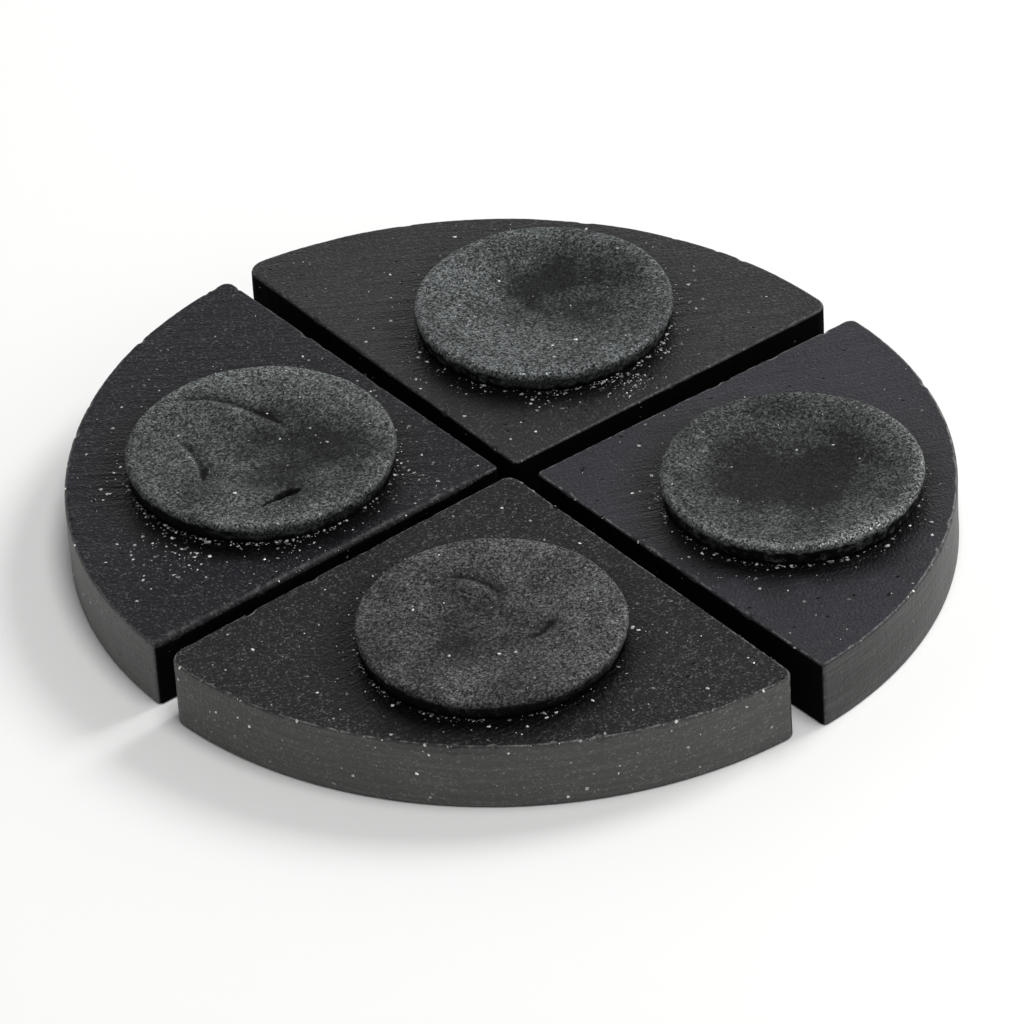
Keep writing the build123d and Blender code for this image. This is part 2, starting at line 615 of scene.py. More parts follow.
@dataclass(frozen=True)
class PressedCharcoal(Finish):
    """Charcoal and mica powder, bound with gum, pressed wet into its seat and dried.

    To the eye it is a near black, dull in itself, but packed with minute mica plates that lie at all angles,
    so it is peppered with cool grey and glitters finely. It is drawn palest where the mica share is high;
    that share also holds painted sheen, painted highlights at the rim and painted shade in the hollow, and
    near black painted shade lies in the creases and on the wall.
    """

    name: str
    mica: str
    charcoal: str = "#0d0d0d"
    charcoal_pale: str = "#171717"
    # Near black drawn in the creases and down the wall: painted shade.
    furrow: str = "#050505"
    least_mica: float = 0.06
    plate_power: float = 1.15
    plate_lean: float = 0.22
    plate_metal: float = 0.6
    ior: float = 1.52
    specular: float = 0.1
    roughness: float = 0.46

    # Real mica powder is about 0.05 mm; its grains are drawn at 0.23 mm so that they show.
    GRAIN_MM = 0.23
    CLOT_MM = 0.5
    CLOUDS_PER_MM = 0.12
    CLOT_SHARE = 0.5
    DRIFT_GAIN = 0.9
    BARE_BELOW = 0.68
    SHADE_HIDES_MICA = 0.8
    CLOT_RELIEF = 2.0

    def surface(self, tree: bpy.types.NodeTree) -> dict:
        """Build the charcoal, its clots, and the mica plates, each with its own tilt.

        Args:
            tree: The material's node tree.

        Returns:
            What the shader is fed.
        """
        place = place_in_mm(tree)
        grains = add_node(tree, "TexVoronoi", {"Vector": place, "Scale": 1.0 / self.GRAIN_MM})
        clots, clouds = (
            add_node(tree, "TexNoise", {"Vector": place, "Scale": scale, "Detail": 3.0})
            for scale in (1.0 / self.CLOT_MM, self.CLOUDS_PER_MM))
        # mica holds painted sheen and painted shade; furrow is painted shade in the creases and on the wall.
        mica_sheen_and_shade, furrow = (
            add_node(tree, "Attribute", attribute_name=name).outputs["Fac"] for name in ("mica", "furrow"))
        drifted = add_node(
            tree, "Math", {0: clots, 1: self.CLOT_SHARE, 2: clouds}, operation="MULTIPLY_ADD")
        shown = add_node(
            tree, "Math", {0: drifted, 1: self.DRIFT_GAIN, 2: mica_sheen_and_shade}, operation="MULTIPLY_ADD")
        shown = add_node(tree, "Math", {0: shown, 1: self.BARE_BELOW}, operation="SUBTRACT")
        shown = add_node(tree, "Math", {0: shown, 1: self.least_mica}, operation="MAXIMUM")
        shown = add_node(
            tree, "Math", {0: furrow, 1: -self.SHADE_HIDES_MICA, 2: shown}, operation="MULTIPLY_ADD",
            use_clamp=True)
        clotted = add_node(
            tree, "MapRange",
            {"Value": clots, "From Min": 0.35, "From Max": 0.65, "To Min": 0.6, "To Max": 1.5})
        chance = add_node(tree, "SeparateColor", {"Color": grains.outputs["Color"]}).outputs["Red"]
        plate = add_node(tree, "Math", {0: chance, 1: self.plate_power}, operation="POWER")
        plate = add_node(tree, "Math", {0: plate, 1: shown}, operation="MULTIPLY")
        plate = add_node(tree, "Math", {0: plate, 1: clotted}, operation="MULTIPLY", use_clamp=True)
        colour = add_node(
            tree, "MixRGB",
            {"Fac": drifted, "Color1": linear(self.charcoal), "Color2": linear(self.charcoal_pale)})
        for share, over in ((furrow, self.furrow), (plate, self.mica)):
            colour = add_node(tree, "MixRGB", {"Fac": share, "Color1": colour, "Color2": linear(over)})

        relief = add_node(
            tree, "Math", {0: clots, 1: self.CLOT_RELIEF, 2: grains}, operation="MULTIPLY_ADD")
        bump = add_node(tree, "Bump", {"Height": relief, "Distance": 0.05 * MM, "Strength": 0.7})
        lean = add_node(
            tree, "VectorMath", {0: grains.outputs["Color"], 1: (0.5, 0.5, 0.5)}, operation="SUBTRACT")
        normal = add_node(
            tree, "VectorMath", {0: lean, 1: (self.plate_lean,) * 3, 2: bump}, operation="MULTIPLY_ADD")
        normal = add_node(tree, "VectorMath", {0: normal}, operation="NORMALIZE")
        shine = add_node(tree, "Math", {0: plate, 1: self.plate_metal}, operation="MULTIPLY")
        rough = add_node(
            tree, "MapRange",
            {"Value": plate, "To Min": self.roughness + 0.3, "To Max": self.roughness - 0.1})
        return {"Base Color": colour, "Metallic": shine, "Roughness": rough, "IOR": self.ior,
                "Specular IOR Level": self.specular, "Normal": normal}


@dataclass(frozen=True)
class MicaFlake(Finish):
    """Muscovite mica, split into thin plates by crushing.

    To the eye each is a silvery chip that is bright or dark with the way it happens to lie; besides its real
    tilt, a random brightness is drawn into its colour as a painted glint.
    """

    name: str = "mica_crushed"
    silver: str = "#f2f3ef"
    dull: str = "#5b5c5a"
    ior: float = 1.58
    metallic: float = 0.35
    roughness: float = 0.28

    STREAKS_PER_MM = 6.0
    STREAK_GAIN = 1.8

    def surface(self, tree: bpy.types.NodeTree) -> dict:
        """Build the faint streaks of the split plate over the flake's own shine.

        Args:
            tree: The material's node tree.

        Returns:
            What the shader is fed.
        """
        streaks = add_node(
            tree, "TexNoise", {"Vector": place_in_mm(tree), "Scale": self.STREAKS_PER_MM, "Detail": 2.0})
        # Painted glint: each flake's random shine lightens its colour.
        shine = add_node(tree, "Attribute", attribute_name="shine").outputs["Fac"]
        bright = add_node(tree, "Math", {0: shine, 1: streaks}, operation="MULTIPLY")
        bright = add_node(
            tree, "Math", {0: bright, 1: self.STREAK_GAIN}, operation="MULTIPLY", use_clamp=True)
        colour = add_node(
            tree, "MixRGB", {"Fac": bright, "Color1": linear(self.dull), "Color2": linear(self.silver)})
        return {"Base Color": colour, "Metallic": self.metallic, "Roughness": self.roughness,
                "IOR": self.ior}


@dataclass(frozen=True)
class PaperSweep(Finish):
    """Matt white background paper, which the blocks stand on. To the eye it is plain, even white."""

    name: str = "background_paper_matt"
    white: str = "#f1f1f0"
    roughness: float = 0.9

    def surface(self, tree: bpy.types.NodeTree) -> dict:
        """Give the paper's plain colour and its dullness; it needs no nodes of its own in tree."""
        return {"Base Color": linear(self.white), "Roughness": self.roughness}


# ---------------------------------------------------------------------------------------------
# The wooden blocks
# ---------------------------------------------------------------------------------------------


@dataclass(frozen=True)
class Seat:
    """A cake's place on its block, in mm: its middle, its radius, its foot and its rim."""

    x: float
    y: float
    radius: float
    foot: float
    rim: float

    @classmethod
    def of(cls, side: Side) -> "Seat":
        """Read a cake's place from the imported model.

        Args:
            side: Which quarter.

        Returns:
            The cake's middle, its radius, the height of its foot in the block, and of its rim.
        """
        low, high = (np.array(corner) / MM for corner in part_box(side.cake_node))
        middle = (low + high) / 2
        return cls(middle[0], middle[1], (high[0] - low[0]) / 2, low[2], high[2])

    @property
    def centre(self) -> np.ndarray:
        """The middle of the cake in plan."""
        return np.array([self.x, self.y])


@dataclass
class QuarterBlock:
    """One hand-sawn quarter of the round.

    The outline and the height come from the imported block. What is added is its surface: arrises
    eased by hand, chipped here and there, saw chatter on the walls and grain standing on the top.
    """

    side: Side
    wood: EbonisedWood
    seed: int
    arris: float = 0.4
    left_cut_arris: float = 0.4
    arris_unevenness: float = 0.18
    chip_count: int = 16
    chip_depth: float = 0.5
    grain_relief: float = 0.02
    wall_unevenness: float = 0.07
    chatter: float = 0.02
    around: int = 840
    top_rings: int = 60
    seat_clearance: float = 0.03
    base_ease: float = 0.3
    seat: Seat = field(init=False)
    height: float = field(init=False)

    WALL_RINGS = 26
    ARRIS_RINGS = 8
    BASE_RINGS = 3
    SEAT_UNDERCUT = 0.7
    CHATTER_PITCH = 0.9
    UNDERSIDE_RINGS = (0.15, 0.55, 0.9)
    FADE_RINGS = 3
    LEFT_CUT_BAND = (20.0, 160.0)
    ROUND_SIDE_BAND = (0.6, 0.95)
    CHIP_LENGTHS = (0.35, 1.3)
    CHIP_DEPTHS = (0.3, 1.0)
    CHATTER_SANDED_OFF = 0.85
    TOP_BAND = 1.5
    LUMP_MM = 5.0
    SHADOW_LEAN = (-0.9, -1.3)
    SMEAR_SHADE_SHARE = 0.95
    SMEAR_SHADE_REACH = 7.0
    DUST_REACH = 9.0
    SIDE_LIGHT_SHARE = 0.9
    UPRIGHT_WEAR = 3.2
    NIBBLE = 0.16
    GRAIN_MM = 1.3
    GRAIN_SQUEEZE = 0.09
    WAVE_MM = 14.0
    WAVE_RELIEF = 0.05
    SWELL_MM = 7.0
    CHATTER_DRAWN_UP = 0.12
    HIGHLIGHT_BEND = 0.35
    HIGHLIGHT_SPREAD = 0.3

    def __post_init__(self) -> None:
        """Read the block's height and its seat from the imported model."""
        self.seat = Seat.of(self.side)
        self.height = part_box(self.side.block_node)[1].z / MM
        self.noise = ValueNoise(self.seed)
        self.rng = np.random.default_rng(self.seed)

    def outline(self) -> tuple[np.ndarray, np.ndarray]:
        """Read the block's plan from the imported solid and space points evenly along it.

        Returns:
            The points of the outline, anticlockwise, and the outward direction at each.
        """
        node = bpy.data.objects[self.side.block_node]
        plan = [Vector(v.co[:2]) / MM for v in node.data.vertices]
        corners = np.array([plan[i] for i in convex_hull_2d(plan)])
        away = corners - self.seat.centre
        corners = corners[np.argsort(np.arctan2(away[:, 1], away[:, 0]))]
        loop = np.vstack([corners, corners[:1]])
        reach = np.append(0.0, np.cumsum(np.linalg.norm(np.diff(loop, axis=0), axis=1)))
        stops = np.linspace(0.0, reach[-1], self.around, endpoint=False)
        points = np.stack([np.interp(stops, reach, loop[:, k]) for k in (0, 1)], -1)
        run = np.roll(points, -2, axis=0) - np.roll(points, 2, axis=0)
        return points, unit(np.stack([run[:, 1], -run[:, 0]], -1))

    def arris_sizes(self, points: np.ndarray, outward: np.ndarray) -> np.ndarray:
        """How far the top arris is eased or chipped at each point of the outline.

        Args:
            points: The outline.
            outward: The outward direction at each point.

        Returns:
            The ease in mm.
        """
        wander = self.noise.fractal(points, 9.0, 3) * self.arris_unevenness
        nibble = np.abs(self.noise.fractal(points, 0.7, 2)) * self.NIBBLE
        middle = self.seat.centre
        left_hand = ramp(
            middle[0] * points[:, 1] - middle[1] * points[:, 0], *self.LEFT_CUT_BAND)
        on_left_cut = left_hand * (1.0 - self.is_round_side(points, outward))
        ease = (self.arris + (self.left_cut_arris - self.arris) * on_left_cut) * (1.0 + wander + nibble)
        for _ in range(self.chip_count):
            at = points[self.rng.integers(self.around)]
            length = self.rng.uniform(*self.CHIP_LENGTHS)
            depth = self.chip_depth * self.rng.uniform(*self.CHIP_DEPTHS)
            gap = np.linalg.norm(points - at, axis=1)
            ease += depth * ramp(-gap, -length, -0.3 * length)
        return ease

    def top_relief(self, plan: np.ndarray) -> np.ndarray:
        """Height of the grain and of slow unevenness over the sawn top.

        Args:
            plan: Places in plan, in mm.

        Returns:
            The height to add, in mm.
        """
        turn = -math.radians(self.wood.grain_degrees)
        along = plan[..., 0] * math.cos(turn) - plan[..., 1] * math.sin(turn)
        across = plan[..., 0] * math.sin(turn) + plan[..., 1] * math.cos(turn)
        fibres = self.noise.fractal(
            np.stack([along * self.GRAIN_SQUEEZE, across], -1), self.GRAIN_MM, 2)
        wave = self.noise.fractal(plan, self.WAVE_MM, 2)
        return self.grain_relief * fibres + self.WAVE_RELIEF * wave

    def rings(self) -> tuple[np.ndarray, dict]:
        """Shape the whole skin of the block, from the seat's floor out, over the arris and under.

        Returns:
            The rings in mm, and the attributes that the finish reads.
        """
        outline, outward = self.outline()
        ease = self.arris_sizes(outline, outward)[:, None]
        hole = self.seat.radius - self.SEAT_UNDERCUT + self.seat_clearance
        mouth = self.seat.centre + unit(outline - self.seat.centre) * hole
        round_side = self.is_round_side(outline, outward)
        rows, heights, arris, walls = [], [], [], []

        def add_row(
                plan: np.ndarray, level: float | np.ndarray, worn_highlight: float = 0.0, wall: float = 0.0
        ) -> None:
            """Note one ring: its plan, its height, how much its arris is worn and painted with a highlight,
            and if it is wall.
            """
            rows.append(plan)
            heights.append(np.broadcast_to(np.asarray(level, float), (self.around,)))
            arris.append(np.full(self.around, worn_highlight))
            walls.append(np.full(self.around, wall))

        add_row(self.seat.centre + (mouth - self.seat.centre) * 0.5, self.seat.foot)
        add_row(mouth, self.seat.foot)
        edge = outline - outward * ease
        for t in np.linspace(0.0, 1.0, self.top_rings):
            plan = mouth + (edge - mouth) * t
            add_row(plan, self.height + self.top_relief(plan))
        lip = self.height + self.top_relief(edge)
        for k in range(1, self.ARRIS_RINGS + 1):
            bend = math.pi / 2 * k / self.ARRIS_RINGS
            plan = outline - outward * ease * (1.0 - math.sin(bend))
            # Painted highlight: the arris is drawn palest near the top of its bend, on top of the wear.
            worn_highlight = math.exp(-((bend - self.HIGHLIGHT_BEND) / self.HIGHLIGHT_SPREAD) ** 2)
            add_row(plan, lip - ease[:, 0] * (1.0 - math.cos(bend)), worn_highlight, k / self.ARRIS_RINGS)
        top_of_wall = lip - ease[:, 0]
        for k in range(1, self.WALL_RINGS + 1):
            level = top_of_wall + (self.base_ease - top_of_wall) * k / self.WALL_RINGS
            where = np.column_stack([outline, level])
            swell = self.wall_unevenness * self.noise.fractal(where, self.SWELL_MM, 2)
            chatter = self.chatter * self.noise.at(
                where * (1.0, 1.0, self.CHATTER_DRAWN_UP), self.CHATTER_PITCH)
            chatter = chatter * (1.0 - self.CHATTER_SANDED_OFF * round_side)
            fade = min(k, self.WALL_RINGS - k, self.FADE_RINGS) / self.FADE_RINGS
            add_row(outline + outward * ((swell + chatter) * fade)[:, None], level, 0.0, 1.0)
        for k in range(1, self.BASE_RINGS + 1):
            bend = math.pi / 2 * k / self.BASE_RINGS
            inset = self.base_ease * (1.0 - math.cos(bend))
            add_row(outline - outward * inset, self.base_ease * (1.0 - math.sin(bend)))
        for t in self.UNDERSIDE_RINGS:
            add_row(outline + (self.seat.centre - outline) * t, 0.0)

        plan, level, wall = np.array(rows), np.array(heights), np.array(walls)
        from_cake, from_shadow_centre = (
            np.linalg.norm(plan - middle, axis=-1) - self.seat.radius
            for middle in (self.seat.centre, self.seat.centre + np.array(self.SHADOW_LEAN)))
        lump = self.noise.fractal(plan, self.LUMP_MM, 2)
        on_top = level > self.height - self.TOP_BAND
        # Smudged charcoal and the cake's painted shadow: darkest at the cake and leaned towards the front
        # left, where its shadow falls.
        smear_and_shade = self.SMEAR_SHADE_SHARE * ramp(-from_shadow_centre, -self.SMEAR_SHADE_REACH - 2.0 * lump, 0.0)
        upright = self.UPRIGHT_WEAR * wall * round_side * (1.0 - round_side)
        return np.concatenate([plan, level[..., None]], -1), {
            "arris": np.maximum(np.array(arris), upright),
            "smear_and_shade": smear_and_shade * on_top,
            "dust": ramp(-from_cake, -self.DUST_REACH - 3.0 * lump, -0.5) * on_top,
            # side: where the round side's painted light is drawn.
            "side": self.SIDE_LIGHT_SHARE * wall * round_side,
            # cut: where the painted shade of the gaps is drawn.
            "cut": wall ** 2 * (1.0 - round_side)}

    @staticmethod
    def is_round_side(outline: np.ndarray, outward: np.ndarray) -> np.ndarray:
        """Tell the round, sanded side from the two sawn cuts, which meet at the tip.

        Args:
            outline: The points of the outline, about the origin of the whole round.
            outward: The outward direction at each point.

        Returns:
            1 on the round side and 0 on the cuts, with a soft change between.
        """
        return ramp(np.einsum("ij,ij->i", unit(outline), outward), *QuarterBlock.ROUND_SIDE_BAND)

    def build(self, sawn: bpy.types.Material) -> bpy.types.Object:
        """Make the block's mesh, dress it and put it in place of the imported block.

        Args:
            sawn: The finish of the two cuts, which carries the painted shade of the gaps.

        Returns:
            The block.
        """
        rings, attributes = self.rings()
        piece = write_rings(f"{self.side.value}_block_ebonised", rings, attributes)
        for finish in (self.wood.material(), sawn):
            piece.data.materials.append(finish)
        in_cut = np.append(attributes["cut"].ravel(), (0.0, 0.0)) > 0.5
        for face in piece.data.polygons:
            face.material_index = int(all(in_cut[corner] for corner in face.vertices))
        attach(piece, self.side.value)
        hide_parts(self.side.block_node)
        LOG.info("%s: %d corners", piece.name, len(piece.data.vertices))
        return piece


# ---------------------------------------------------------------------------------------------
# The cakes
# ---------------------------------------------------------------------------------------------


def distance_to_path(plan: np.ndarray, path: np.ndarray) -> tuple[np.ndarray, np.ndarray, np.ndarray]:
    """Measure how places in plan lie against a line of short straight runs.

    Args:
        plan: Places in mm, with the coordinates in the last axis.
        path: The line's points in mm.

    Returns:
        Distance to the line, which side of it each place is on (1 to the left, -1 to the right),
        and how far along the line the nearest point is, from 0 to 1.
    """
    best = np.full(plan.shape[:-1], np.inf)
    side = np.zeros(plan.shape[:-1])
    along = np.zeros(plan.shape[:-1])
    runs = np.linalg.norm(np.diff(path, axis=0), axis=1)
    total, walked = runs.sum(), 0.0
    for start, end, run in zip(path[:-1], path[1:], runs):
        ahead = (end - start) / run
        gap = plan - start
        t = np.clip(gap @ ahead, 0.0, run)
        off = gap - t[..., None] * ahead
        distance = np.linalg.norm(off, axis=-1)
        nearer = distance < best
        best = np.where(nearer, distance, best)
        side = np.where(nearer, np.sign(ahead[0] * gap[..., 1] - ahead[1] * gap[..., 0]), side)
        along = np.where(nearer, (walked + t) / total, along)
        walked += run
    return best, side, along


def smooth_path(points: tuple, steps: int = 8) -> np.ndarray:
    """Round off a line through a few given points.

    Args:
        points: The points in mm.
        steps: Points to each run of the new line.

    Returns:
        The rounded line, as a Catmull-Rom curve through the points.
    """
    p = np.array(points, float)
    p = np.vstack([2 * p[0] - p[1], p, 2 * p[-1] - p[-2]])
    t = np.linspace(0.0, 1.0, steps, endpoint=False)[:, None]
    line = [
        0.5 * (2 * b + (c - a) * t + (2 * a - 5 * b + 4 * c - d) * t ** 2 + (3 * b - a - 3 * c + d) * t ** 3)
        for a, b, c, d in zip(p[:-3], p[1:-2], p[2:-1], p[3:])]
    return np.vstack(line + [p[-2:-1]])


@dataclass(frozen=True)
class Fold:
    """A soft wrinkle that the skin made as it dried: a furrow with one side pushed up.

    Places are in mm from the cake's middle. step is how far the left-hand side stands up.
    """

    path: tuple
    depth: float
    width: float
    step: float = 0.0
    spread: float = 3.0

    def height(self, plan: np.ndarray, noise: ValueNoise) -> np.ndarray:
        """Height that the fold adds.

        Args:
            plan: Places in mm from the cake's middle.
            noise: The cake's noise, which makes the fold uneven.

        Returns:
            Height in mm.
        """
        gap, side, along = distance_to_path(plan, smooth_path(self.path))
        fade = ramp(along, 0.0, 0.3) * ramp(-along, -1.0, -0.7)
        wide = self.width * (1.0 + 0.35 * noise.at(plan, 1.7))
        furrow = -self.depth * np.exp(-(gap / wide) ** 2)
        shoulder = self.step * np.tanh(side * gap / wide) * np.exp(-(gap / self.spread) ** 2)
        return fade * (furrow + shoulder)


@dataclass(frozen=True)
class Dent:
    """A soft hollow, or a swelling where depth is negative. Places are in mm from the middle."""

    x: float
    y: float
    depth: float
    long: float
    wide: float
    degrees: float = 0.0

    def height(self, plan: np.ndarray, noise: ValueNoise) -> np.ndarray:
        """Height that the dent adds.

        Args:
            plan: Places in mm from the cake's middle.
            noise: The cake's noise, which makes the dent uneven.

        Returns:
            Height in mm.
        """
        turn = math.radians(self.degrees)
        gap = plan - (self.x, self.y)
        u = (gap[..., 0] * math.cos(turn) + gap[..., 1] * math.sin(turn)) / self.long
        v = (gap[..., 1] * math.cos(turn) - gap[..., 0] * math.sin(turn)) / self.wide
        return -self.depth * np.exp(-(u * u + v * v)) * (1.0 + 0.25 * noise.at(plan, 2.5))


@dataclass(frozen=True)
class Crack:
    """A narrow, ragged split in the skin. Places are in mm from the middle."""

    path: tuple
    depth: float
    width: float

    def height(self, plan: np.ndarray, noise: ValueNoise) -> np.ndarray:
        """Height that the crack takes away, as a negative number.

        Args:
            plan: Places in mm from the cake's middle.
            noise: The cake's noise, which makes the crack ragged.

        Returns:
            Height in mm.
        """
        shaken = plan + 0.3 * np.stack([noise.at(plan, 0.9), noise.at(plan + 31.0, 0.9)], -1)
        gap, _, along = distance_to_path(shaken, np.array(self.path, float))
        fade = ramp(along, 0.0, 0.25) * ramp(-along, -1.0, -0.75)
        return -self.depth * fade * ramp(-gap, -self.width, -0.25 * self.width)


@dataclass
class PigmentCake:
    """One pressed cake, keyed in its seat, with an undercut wall, a rolled rim and a dished top."""

    side: Side
    finish: PressedCharcoal
    seed: int
    dish: float
    rim_width: float = 3.0
    dish_offset: tuple = (0.0, 0.0)
    dish_power: float = 1.3
    rim_round: float = 0.7
    rim_sway: float = 0.12
    # Painted shade of the dish: along this path less mica is drawn, so the hollow reads darker.
    hollow_shade_path: tuple = ((-3.0, 0.0), (3.0, 0.0))
    hollow_shade_reach: float = 11.0
    hollow_shade_share: float = 0.6
    richness: float = 0.5
    # Painted sheen towards a bearing, and a painted highlight on the rim.
    sheen_degrees: float = 250.0
    sheen_gain: float = 0.1
    sheen_twofold: float = 0.0
    rim_highlight: float = 0.14
    rim_highlight_turn: float = 0.0
    rim_highlight_band: float = 0.75
    # Painted shade on the wall, lighter towards the lit bearing.
    wall_shade: float = 0.8
    lit_wall_degrees: float = 320.0
    features: tuple = ()
    around: int = 640
    top_rings: int = 100
    seat: Seat = field(init=False)
    wood_top: float = field(init=False)

    UNDERCUT = 0.7
    SEAT_GAP = 0.02
    RIM_RINGS = 8
    USUAL_RADIUS = 19.0
    BELOW_RIM = 0.12
    CROWN = 0.12
    FOOT_GAP = 0.02
    PLUG_ENDS_UNDER_TOP = 0.15
    SWAY_MM = 11.0
    # Size and height of the slow waves, the lumps and the grains of the skin, and of its ragged edge.
    WAVES = (7.0, 0.10)
    LUMPS = (1.6, 0.035)
    GRAINS = (0.36, 0.016)
    WALL_ROUGH = (1.3, 0.11)
    RIM_ROUGH = (0.9, 0.03)
    # Size of the patches of painted shade in the hollow, and how far they wander.
    SHADE_PATCHES = (5.0, 1.6)
    # Painted shade on the wall: where it starts and is full, in mm under the shoulder, and above the wood at
    # the foot; it is lighter towards the lit bearing.
    SHADE_BAND = (-0.1, 0.45)
    FOOT_SHADE_BAND = (1.3, 0.3)
    LIT_WALL_BAND = (0.2, 0.95)
    LIT_WALL_SHARE = 0.5
    FURROW_SHADE_BAND = (0.08, 0.5)
    FURROW_SHADE_SHARE = 0.6
    # Out from the plug and up from the wood, each as a share: the wall stands in under a thick lip.
    WALL = (
        (0.0, 0.0), (0.22, 0.03), (0.3, 0.16), (0.36, 0.3), (0.48, 0.42), (0.72, 0.54), (0.92, 0.66),
        (1.0, 0.8), (1.0, 1.0))

    def __post_init__(self) -> None:
        """Read the cake's place and the block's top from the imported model."""
        self.seat = Seat.of(self.side)
        self.wood_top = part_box(self.side.block_node)[1].z / MM
        self.noise = ValueNoise(self.seed)

    def top(self, plan: np.ndarray, reach: np.ndarray) -> np.ndarray:
        """Height of the dished top.

        Args:
            plan: Places in mm from the cake's middle.
            reach: Radius of the crest of the rim on the same bearing, in mm.

        Returns:
            Height above the table in mm.
        """
        radius = np.linalg.norm(plan, axis=-1)
        shift = np.array(self.dish_offset) * (1 - radius / reach)[..., None]
        off_centre = np.linalg.norm(plan - shift, axis=-1)
        share = np.clip(off_centre / (reach - self.rim_width + self.rim_round), 0.0, 1.0)
        hollow = self.dish * (1.0 - share ** 2) ** self.dish_power
        crown = self.CROWN * ramp(radius, 0.0, 1.0) * ramp(
            radius / reach, 1.0 - 2.2 * self.rim_width / self.USUAL_RADIUS, 1.0)
        waves, lumps = (
            height * self.noise.fractal(plan, size, 2) for size, height in (self.WAVES, self.LUMPS))
        grains = self.GRAINS[1] * self.noise.at(plan + 9.0, self.GRAINS[0])
        marks = sum(feature.height(plan, self.noise) for feature in self.features)
        return self.seat.rim - self.BELOW_RIM + crown - hollow + waves + lumps + grains + marks

    def mica(self, plan: np.ndarray) -> np.ndarray:
        """How much loose mica is drawn on the skin: less along the dark hollow as painted shade, more
        towards one bearing as painted sheen, and more at the rim as a painted highlight.

        Args:
            plan: Places in mm from the cake's middle.

        Returns:
            One share for each place.
        """
        radius = np.linalg.norm(plan, axis=-1) / self.seat.radius
        away, _, _ = distance_to_path(plan, smooth_path(self.hollow_shade_path))
        patchy = self.SHADE_PATCHES[1] * self.noise.fractal(plan + 5.0, self.SHADE_PATCHES[0], 3)
        # Painted shade: less mica is drawn along the dark hollow.
        pressed = self.hollow_shade_share * (1.0 - ramp(away + patchy, -1.0, self.hollow_shade_reach))
        # Painted sheen towards one bearing and a painted highlight at the rim.
        facing = (plan @ ray(math.radians(self.sheen_degrees))) / self.seat.radius
        twofold = self.sheen_twofold * (2.0 * facing ** 2 - radius ** 2)
        rim = self.rim_highlight * ramp(radius, self.rim_highlight_band, 0.97)
        rim = rim * (1.0 - self.rim_highlight_turn * (0.5 - 0.5 * facing))
        return self.richness - 0.5 * pressed + self.sheen_gain * facing + twofold + rim

    def rings(self) -> tuple[np.ndarray, dict]:
        """Shape the whole skin of the cake, from the plug's foot up the wall and in over the rim.

        Returns:
            The rings in mm, and the attributes that the finish reads: mica, which holds painted sheen and
            shade, and furrow, which is painted shade.
        """
        bearing = np.linspace(0.0, 2 * math.pi, self.around, endpoint=False)
        way = ray(bearing)
        round_rim = way * self.USUAL_RADIUS
        sway = self.rim_sway * self.noise.fractal(round_rim, self.SWAY_MM, 2)
        radius = self.seat.radius - self.rim_sway + sway
        plug = self.seat.radius - self.UNDERCUT - self.SEAT_GAP
        crest_radius = radius - self.rim_round
        shoulder = self.top(way * crest_radius[:, None], crest_radius) - self.rim_round
        rows = []

        def add_row(reach: float | np.ndarray, level: float | np.ndarray) -> None:
            """Note one ring: its radius and its height at each bearing."""
            reach, level = (np.broadcast_to(np.asarray(v, float), (self.around,)) for v in (reach, level))
            rows.append(np.column_stack([self.seat.centre + way * reach[:, None], level]))

        add_row(plug * 0.5, self.seat.foot + self.FOOT_GAP)
        add_row(plug, self.seat.foot + self.FOOT_GAP)
        add_row(plug, self.wood_top - self.PLUG_ENDS_UNDER_TOP)
        for out, up in self.WALL:
            level = self.wood_top + (shoulder - self.wood_top) * up
            where = np.column_stack([round_rim, level])
            rough = self.noise.fractal(where, self.WALL_ROUGH[0], 3, 0.6)
            rough = self.WALL_ROUGH[1] * rough * min(1.0, 0.3 + out)
            add_row(plug + (radius - plug) * out + rough, level)
        for k in range(1, self.RIM_RINGS + 1):
            bend = math.pi / 2 * k / self.RIM_RINGS
            level = shoulder + self.rim_round * math.sin(bend)
            where = np.column_stack([round_rim, level])
            rough = self.RIM_ROUGH[1] * self.noise.fractal(where, self.RIM_ROUGH[0], 2) * math.cos(bend)
            add_row(crest_radius + self.rim_round * math.cos(bend) + rough, level)
        for t in np.linspace(1.0, 0.0, self.top_rings + 1)[1:-1]:
            plan = way * (crest_radius * t)[:, None]
            add_row(crest_radius * t, self.top(plan, crest_radius))
        rings = np.array(rows)
        plan = rings[..., :2] - self.seat.centre
        on_top = (np.arange(len(rows)) >= len(rows) - self.top_rings + 1)[:, None]
        lines = (feature for feature in self.features if not isinstance(feature, Dent))
        cut = sum((line.height(plan, self.noise) for line in lines), np.zeros(plan.shape[:-1]))
        # Painted shade: the wall under the rim and at its foot is drawn darker, less on the side that faces
        # the light.
        wall = ramp(-rings[..., 2], *(mm - shoulder for mm in self.SHADE_BAND))
        lit_wall = ramp(way @ ray(math.radians(self.lit_wall_degrees)), *self.LIT_WALL_BAND)
        foot = ramp(-rings[..., 2], *(-self.wood_top - mm for mm in self.FOOT_SHADE_BAND))
        wall = np.maximum(wall * (1.0 - self.LIT_WALL_SHARE * lit_wall), foot)
        wall = wall * (0.8 + 0.5 * self.noise.at(rings, 0.8)) * (1.0 - on_top)
        # Painted shade in the creases of the folds and cracks, joined with the wall's painted shade.
        furrow = self.FURROW_SHADE_SHARE * ramp(-cut * on_top, *self.FURROW_SHADE_BAND)
        furrow = np.maximum(furrow, self.wall_shade * wall)
        return rings, {"mica": self.mica(plan) - self.rim_highlight * wall, "furrow": furrow}

